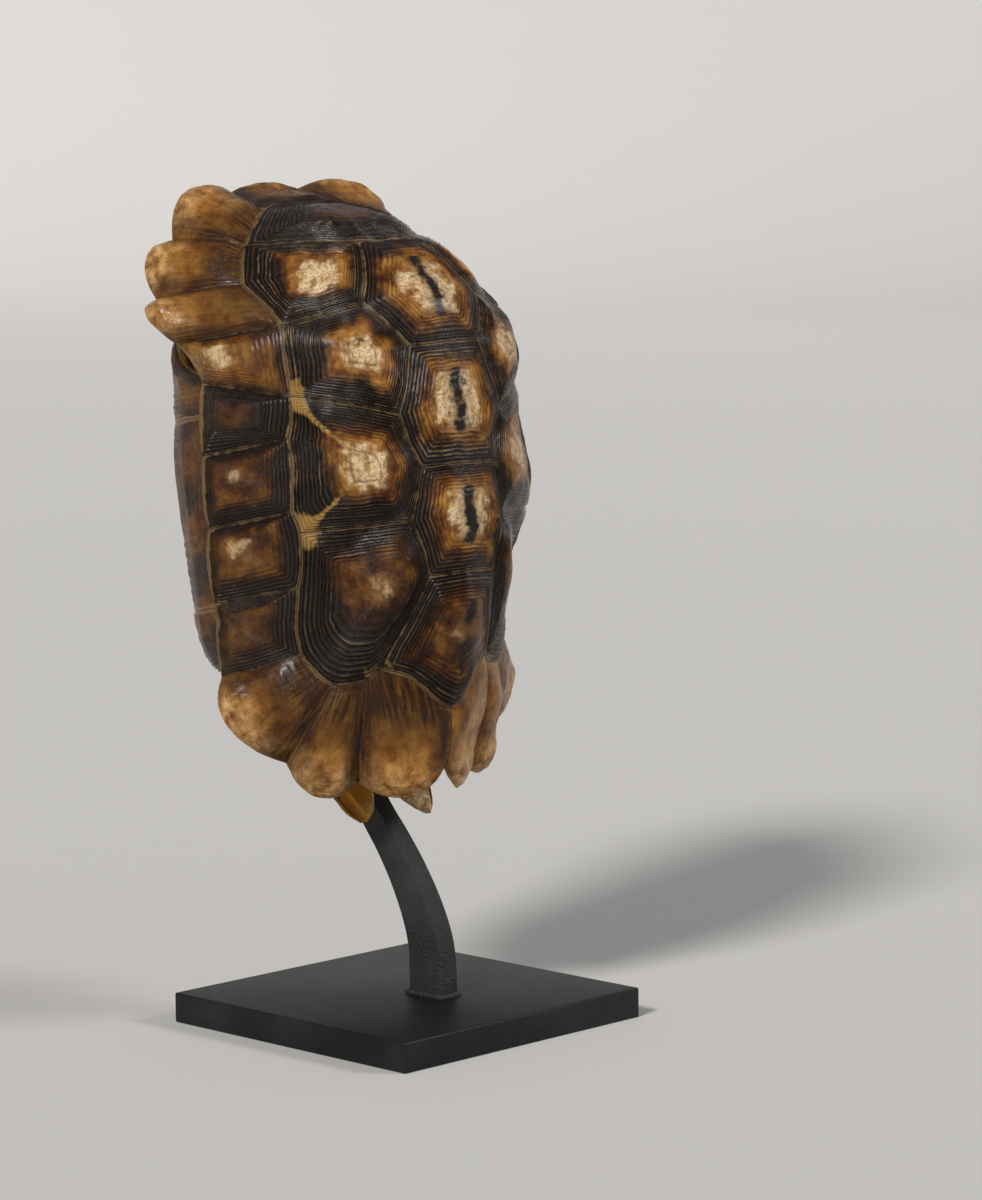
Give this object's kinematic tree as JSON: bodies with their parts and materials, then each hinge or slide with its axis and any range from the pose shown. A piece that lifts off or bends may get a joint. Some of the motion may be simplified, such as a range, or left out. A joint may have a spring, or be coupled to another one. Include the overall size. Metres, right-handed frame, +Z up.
{
  "type": "tortoise shell on stand",
  "caption": "Whole tortoise shell, carapace and plastron in one, held head down and upright by a curved flat steel bar that rises from a thick square base plate",
  "frame": {"origin": "the centre of the base plate's underside, on the surface that the stand rests on", "axes": "+Z up, towards the tail end of the shell; X and Y lie along the base plate's sides; the carapace faces mostly -Y and the plastron mostly +Y; the animal's right flank is at -X"},
  "size_m": [0.1406, 0.1406, 0.3044],
  "materials": {
    "shell_keratin": "ridged horn, brown black growth rings with amber and cream areolae, soft gloss",
    "bar_paint": "matt black paint over forged texture",
    "plate_paint": "satin black paint"
  },
  "bodies": {
    "root": {"shell": "shell_keratin", "bar": "bar_paint", "base_plate": "plate_paint"}
  },
  "joints": []
}
